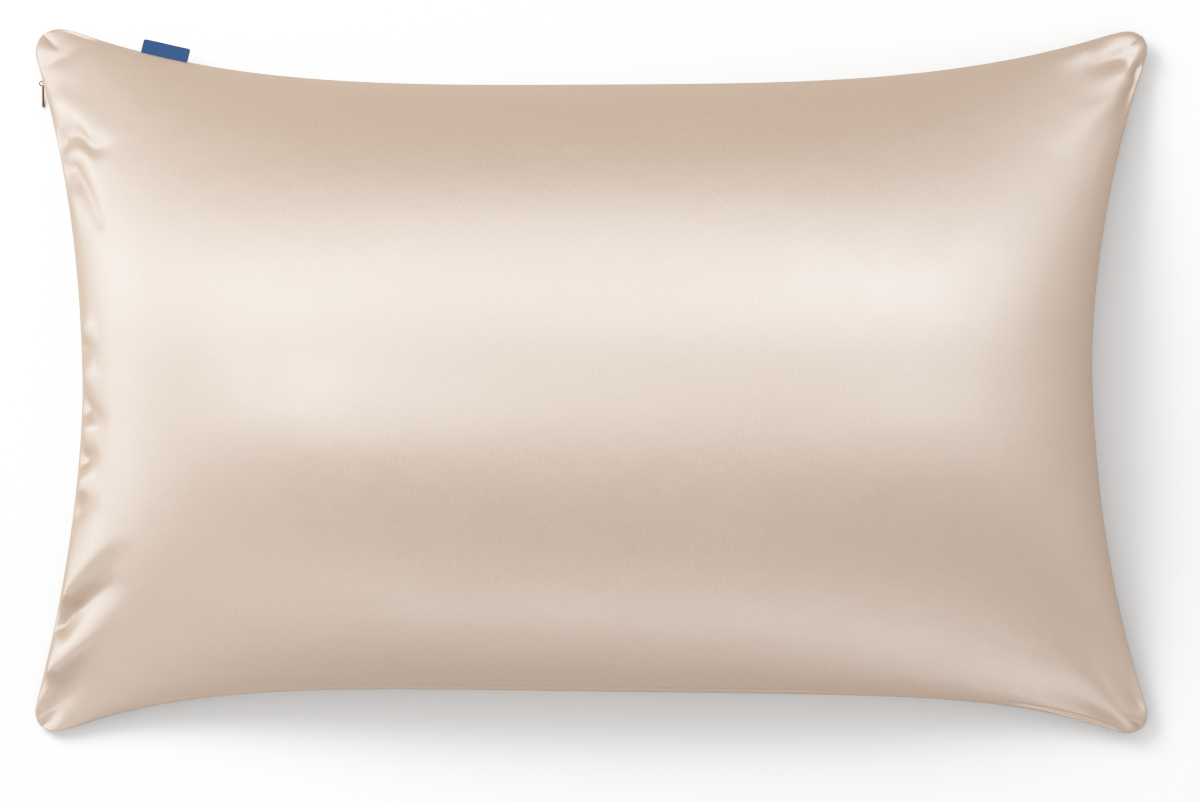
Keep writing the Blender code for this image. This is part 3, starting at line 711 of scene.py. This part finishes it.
def soften_corners(piece):
    """Evens out the satin round the four tips, where the two sides become one arc."""
    spots = np.empty(len(piece.data.vertices) * 3)
    piece.data.vertices.foreach_get("co", spots)
    spots = spots.reshape(-1, 3)[:, :2] / MM
    away = np.full(len(spots), CORNER_REACH)
    for sign_u, sign_v in CORNERS:
        tip = plan(np.array([1.0 * sign_u]), np.array([1.0 * sign_v]))[0] + frame_shift()[:2]
        away = np.minimum(away, np.linalg.norm(spots - tip, axis=1))
    weights = smooth_step((CORNER_REACH - away) / (CORNER_REACH - CORNER_FULL))
    group = piece.vertex_groups.new(name="Corners")
    for index in np.flatnonzero(weights > CORNER_LEAST):
        group.add([int(index)], float(weights[index]), "REPLACE")
    even = piece.modifiers.new("Even", "SMOOTH")
    even.factor = CORNER_PULL
    even.iterations = CORNER_PASSES
    even.vertex_group = group.name
    bpy.ops.object.modifier_apply(modifier="Even")
    piece.vertex_groups.clear()


def scale_uv(piece, width, height):
    """Turns a piece's unit UVs into metres of cloth."""
    layer = piece.data.uv_layers["Cloth"].data
    flat = np.empty(len(layer) * 2)
    layer.foreach_get("uv", flat)
    layer.foreach_set("uv", (flat.reshape(-1, 2) * (width, height)).ravel())


class PILLOWCASE_OT_case(bpy.types.Operator):
    """Builds the filled satin case"""
    bl_idname = "pillowcase.case"
    bl_label = "Satin case"

    def execute(self, context):
        settings = context.scene.pillowcase_case
        front = panel("pillow_satin", front_points, FRONT_FOLDS, settings, False)
        back = panel("back_panel", back_points, BACK_FOLDS, settings, True)
        deselect_all()
        back.select_set(True)
        front.select_set(True)
        context.view_layer.objects.active = front
        bpy.ops.object.join()
        scale_uv(front, *CUT_SIZE)
        only(front)
        bpy.ops.object.mode_set(mode="EDIT")
        bpy.ops.mesh.select_all(action="SELECT")
        bpy.ops.mesh.remove_doubles(threshold=RIM_MERGE)
        bpy.ops.object.mode_set(mode="OBJECT")
        soften_corners(front)
        bpy.ops.object.shade_smooth()
        front.data.materials.append(satin_material(settings))
        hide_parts("pillowcase")
        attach(front, "root")
        return {"FINISHED"}


def tab_section(settings):
    """Middle line of the folded ribbon, from its lower end round the turn to its upper
    end, as a function of the share of its length, and that length."""
    half = settings.tab_layer / MM / 2.0
    turn = TAB_PARTING / 2.0 + half
    turn_at = TAB_REACH - turn - half
    straight = turn_at + TAB_IN_SEAM
    length = 2.0 * straight + pi * turn

    def place(share):
        run = share * length
        angle = np.clip((run - straight) / turn, 0.0, pi) - pi / 2.0
        beyond = np.maximum(0.0, run - straight - pi * turn)
        out = np.minimum(run - TAB_IN_SEAM, turn_at) + turn * np.cos(angle) - beyond
        return out, turn * np.sin(angle)

    return place, length


def tab_matrix():
    half_u = TAB_LENGTH / 2.0 / abs(CORNERS[(-1, 1)].x)
    _, along, outward = seam_frame(TAB_AT, 1.0, half_u, 0.0)
    spots = front_points(np.array([TAB_AT - half_u, TAB_AT + half_u]), np.ones(2)) + frame_shift()
    root = Vector(spots.mean(axis=0))
    outward = (outward * cos(TAB_DROOP) - Vector((0.0, 0.0, sin(TAB_DROOP)))).normalized()
    outward = (outward - along * outward.dot(along)).normalized()
    return matrix_of(outward, along.cross(outward), -along, root + outward * GAP)


def build_tab(settings):
    """A short ribbon folded in two, its ends sewn into the seam."""
    place, length = tab_section(settings)
    deselect_all()
    bpy.ops.mesh.primitive_grid_add(
        x_subdivisions=TAB_CELLS[0], y_subdivisions=TAB_CELLS[1], size=2.0
    )
    tab = named(bpy.context.object, "folded_tab")
    mesh = tab.data
    flat = np.empty(len(mesh.vertices) * 3)
    mesh.vertices.foreach_get("co", flat)
    x, y = flat.reshape(-1, 3)[:, :2].T
    out, up = place((x + 1.0) / 2.0)
    free = np.clip(out / TAB_REACH, 0.0, 1.0)
    # slow and quick waves along the seam, out of step so that no stretch looks like another
    bulge = np.sin(pi * free) * (1.0 - TAB_SWING + TAB_SWING * np.sin(2.3 * y + 0.6))
    ripple = TAB_RIPPLE * free * np.sin(5.1 * y + 0.9 * np.sign(up))
    up = up + TAB_WAVE * (np.sign(up) * bulge + ripple)
    worn = smooth_step((np.abs(y) - TAB_WORN_FROM) / (1.0 - TAB_WORN_FROM))
    out = out - TAB_WORN * free * worn
    across = y * TAB_LENGTH / 2.0 * (1.0 + TAB_SKEW * free * y)
    points = np.stack([out, up, across], axis=-1) * MM
    mesh.vertices.foreach_set("co", points.ravel())
    mesh.update()
    mesh.uv_layers[0].name = "Cloth"
    scale_uv(tab, length * MM, TAB_LENGTH * MM)
    tab.matrix_world = tab_matrix()
    apply_place(tab)
    cloth = tab.modifiers.new("Cloth", "SOLIDIFY")
    cloth.thickness = settings.tab_layer
    cloth.offset = 0.0
    cloth.use_even_offset = True
    bpy.ops.object.modifier_apply(modifier="Cloth")
    bpy.ops.object.shade_smooth_by_angle(angle=EDGE_ANGLE)
    tab.data.materials.append(ribbon_material(settings))
    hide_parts("woven_tab")
    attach(tab, "root")


def build_pull(settings, brass):
    """The zip's pull: a round bar, thicker towards its rounded tip, and its ring."""
    seam, _, outward = seam_frame(-1.0, SLIDER_AT, 0.0, SLIDER_STRETCH)
    ring = seam + outward * RING_OUTSIDE_SEAM - Vector((0.0, 0.0, SLIDER_BELOW_SEAM))
    fall = ring.z - BAR_RADIUS_AT_TIP - TIP_ABOVE_FLOOR
    tilt = asin(fall / sqrt(fall * fall + BAR_REACH * BAR_REACH))
    tip = BAR_REACH / cos(tilt)
    head = sqrt(RING_RADIUS ** 2 - BAR_SIDESTEP ** 2)
    deselect_all()
    bpy.ops.mesh.primitive_cone_add(
        vertices=BAR_SIDES, radius1=BAR_RADIUS_AT_TIP * MM, radius2=BAR_RADIUS_AT_RING * MM,
        depth=(tip - head) * MM, rotation=(-pi / 2.0, 0.0, 0.0),
        location=(BAR_SIDESTEP * MM, -(tip + head) / 2.0 * MM, 0.0),
    )
    bar = named(bpy.context.object, "pull_bar")
    round_off = bar.modifiers.new("Round", "BEVEL")
    round_off.width = BAR_ROUNDING * MM
    round_off.segments = BAR_ROUND_STEPS
    # this leaves the bar's long facets as they are
    round_off.angle_limit = radians(50.0)
    bpy.ops.object.modifier_apply(modifier="Round")
    apply_place(bar)
    deselect_all()
    bpy.ops.mesh.primitive_torus_add(
        major_segments=RING_CELLS[0], minor_segments=RING_CELLS[1],
        major_radius=RING_RADIUS * MM, minor_radius=RING_WIRE * MM,
    )
    pull = named(bpy.context.object, "brass_pull")
    apply_place(pull)
    deselect_all()
    bar.select_set(True)
    pull.select_set(True)
    bpy.context.view_layer.objects.active = pull
    bpy.ops.object.join()
    pull.matrix_world = Matrix.Translation(ring * MM) @ Matrix.Rotation(tilt, 4, "X")
    apply_place(pull)
    bpy.ops.object.shade_smooth_by_angle(angle=EDGE_ANGLE)
    pull.data.materials.append(brass)
    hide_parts("zip_pull")
    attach(pull, "root")


class PILLOWCASE_OT_trim(bpy.types.Operator):
    """Builds the tab and the zip's pull, and finishes its slider"""
    bl_idname = "pillowcase.trim"
    bl_label = "Tab and zip pull"

    def execute(self, context):
        settings = context.scene.pillowcase_trim
        brass = brass_material(settings)
        build_tab(settings)
        build_pull(settings, brass)
        frame["nodes"]["zip_slider"].material_slots[0].material = brass
        return {"FINISHED"}


# --------------------------------------------------------------------- the studio

WORLD_STRENGTH = 0.62       # of the pale room, which fills the shadows
FLOOR_SIZE = 60.0           # metres, so that its edge is out of every view
LIGHTS_AIM = Vector((0.0, 0.0, 0.08))  # metres, in the middle of the case
SHOULDER = 0.4              # the level from which the film response bends
SHOULDER_POINTS = (0.25, 0.4, 0.55, 0.7, 0.85)  # shares of the white level
# A softbox: its name, place, size across and up (metres), and power (watts). Each
# faces the case.
Softbox = namedtuple("Softbox", "name place width height power")
SOFTBOXES = (
    Softbox("overhead", (0.0, 1.0, 1.6), 2.6, 1.2, 16.8),
    Softbox("high_left", (-1.1, 0.8, 1.5), 0.9, 0.9, 5.3),
    Softbox("high_right", (1.1, 0.75, 1.45), 0.9, 0.9, 7.6),
    Softbox("above_left", (-0.8, -0.1, 1.9), 0.9, 0.9, 10.4),
    Softbox("above_right", (1.1, -0.2, 1.7), 0.9, 0.9, 6.2),
    Softbox("low_left", (-2.1, 0.9, 0.7), 0.9, 0.7, 7.5),
    Softbox("left_wall", (-2.1, -0.25, 0.5), 2.0, 0.8, 20.0),
    Softbox("front_strip", (-0.3, -1.8, 1.1), 2.4, 0.4, 4.6),
    Softbox("front_right", (1.1, -1.9, 0.6), 0.8, 0.4, 3.4),
)
# These light the paper alone, for a white ground and a soft shadow to the lower right.
FLOOR_SOFTBOXES = (
    Softbox("floor_key", (-1.1, 1.1, 1.6), 1.2, 1.2, 57.8),
    Softbox("floor_fill", (0.0, 0.0, 2.5), 3.0, 3.0, 30.0),
)

PHOTO_SIZE = (1200.0, 802.0)  # pixels
PHOTO_PIXEL = 0.67          # millimetres of the object for each pixel
PHOTO_CASE_MIDDLE = (591.0, 381.0)  # the pixel at the middle of the case
OUTLINE_HEIGHT = 40.0       # millimetres above the floor, where that scale holds
SENSOR_WIDTH = 36.0         # millimetres; the lens is worked out to suit it


def light_groups(floor):
    """What a light falls on: the floor alone, or all but the floor."""
    only_floor = bpy.data.collections.new("Floor alone")
    only_floor.objects.link(floor)
    all_but_floor = bpy.data.collections.new("All but the floor")
    all_but_floor.objects.link(floor)
    all_but_floor.collection_objects[0].light_linking.link_state = "EXCLUDE"
    return only_floor, all_but_floor


def add_light(softbox, falls_on):
    data = bpy.data.lights.new(softbox.name, "AREA")
    data.shape = "RECTANGLE"
    data.size = softbox.width
    data.size_y = softbox.height
    data.energy = softbox.power
    made = bpy.data.objects.new(softbox.name, data)
    bpy.context.scene.collection.objects.link(made)
    place = Vector(softbox.place)
    made.location = place
    made.rotation_euler = (LIGHTS_AIM - place).to_track_quat("-Z", "Y").to_euler()
    made.visible_camera = False
    made.light_linking.receiver_collection = falls_on


def soften_highlights(scene):
    """A film response: straight up to a level, then a soft shoulder up to white."""
    view = scene.view_settings
    view.view_transform = "Standard"
    view.use_curve_mapping = True
    mapping = view.curve_mapping
    white = 2.0 - SHOULDER
    mapping.white_level = (white, white, white)
    response = mapping.curves[3]
    for share in SHOULDER_POINTS:
        level = share * white
        over = max(0.0, level - SHOULDER)
        response.points.new(share, level - over * over / (2.0 * (white - SHOULDER)))
    mapping.update()


def add_camera(settings):
    data = bpy.data.cameras.new("camera")
    data.sensor_width = SENSOR_WIDTH
    width = PHOTO_SIZE[0] * PHOTO_PIXEL * MM
    data.lens = data.sensor_width * (settings.camera_height - OUTLINE_HEIGHT * MM) / width
    data.clip_end = 100.0
    made = bpy.data.objects.new("camera", data)
    bpy.context.scene.collection.objects.link(made)
    middle = (CASE_BOX[0] + CASE_BOX[1]) / 2.0
    aside = (PHOTO_SIZE[0] / 2.0 - PHOTO_CASE_MIDDLE[0]) * PHOTO_PIXEL * MM
    below = (PHOTO_SIZE[1] / 2.0 - PHOTO_CASE_MIDDLE[1]) * PHOTO_PIXEL * MM
    made.location = (middle.x + aside, middle.y - below, settings.camera_height)
    bpy.context.scene.camera = made


class PILLOWCASE_OT_stage(bpy.types.Operator):
    """Sets the floor, the lights and the camera"""
    bl_idname = "pillowcase.stage"
    bl_label = "Studio"

    def execute(self, context):
        scene = context.scene
        settings = scene.pillowcase_stage
        deselect_all()
        bpy.ops.mesh.primitive_plane_add(size=FLOOR_SIZE)
        floor = named(context.object, "floor")
        floor.data.materials.append(paper_material(settings))
        only_floor, all_but_floor = light_groups(floor)
        for softbox in SOFTBOXES:
            add_light(softbox, all_but_floor)
        for softbox in FLOOR_SOFTBOXES:
            add_light(softbox, only_floor)
        world = bpy.data.worlds.new("Pale room")
        world.use_nodes = True
        world.node_tree.nodes["Background"].inputs["Color"].default_value = (1.0, 1.0, 1.0, 1.0)
        world.node_tree.nodes["Background"].inputs["Strength"].default_value = WORLD_STRENGTH
        scene.world = world
        add_camera(settings)
        soften_highlights(scene)
        return {"FINISHED"}


class PILLOWCASE_PT_panel(bpy.types.Panel):
    """Lists the settings and the steps"""
    bl_idname = "PILLOWCASE_PT_panel"
    bl_label = "Satin Pillowcase"
    bl_space_type = "VIEW_3D"
    bl_region_type = "UI"
    bl_category = "Pillowcase"

    def draw(self, context):
        scene = context.scene
        for group in (scene.pillowcase_case, scene.pillowcase_trim, scene.pillowcase_stage):
            box = self.layout.box()
            for name in group.__annotations__:
                box.prop(group, name)
        for step in STEPS:
            self.layout.operator(step.bl_idname)


STEPS = (PILLOWCASE_OT_case, PILLOWCASE_OT_trim, PILLOWCASE_OT_stage)
GROUPS = {
    "pillowcase_case": CaseSettings,
    "pillowcase_trim": TrimSettings,
    "pillowcase_stage": StageSettings,
}


def register():
    for name, group in GROUPS.items():
        bpy.utils.register_class(group)
        setattr(bpy.types.Scene, name, PointerProperty(type=group))
    for item in (*STEPS, PILLOWCASE_PT_panel):
        bpy.utils.register_class(item)


def unregister():
    for item in (PILLOWCASE_PT_panel, *STEPS):
        bpy.utils.unregister_class(item)
    for name, group in GROUPS.items():
        delattr(bpy.types.Scene, name)
        bpy.utils.unregister_class(group)


def main():
    register()
    bpy.ops.pillowcase.case()
    bpy.ops.pillowcase.trim()
    bpy.ops.pillowcase.stage()


if __name__ == "__main__":
    main()
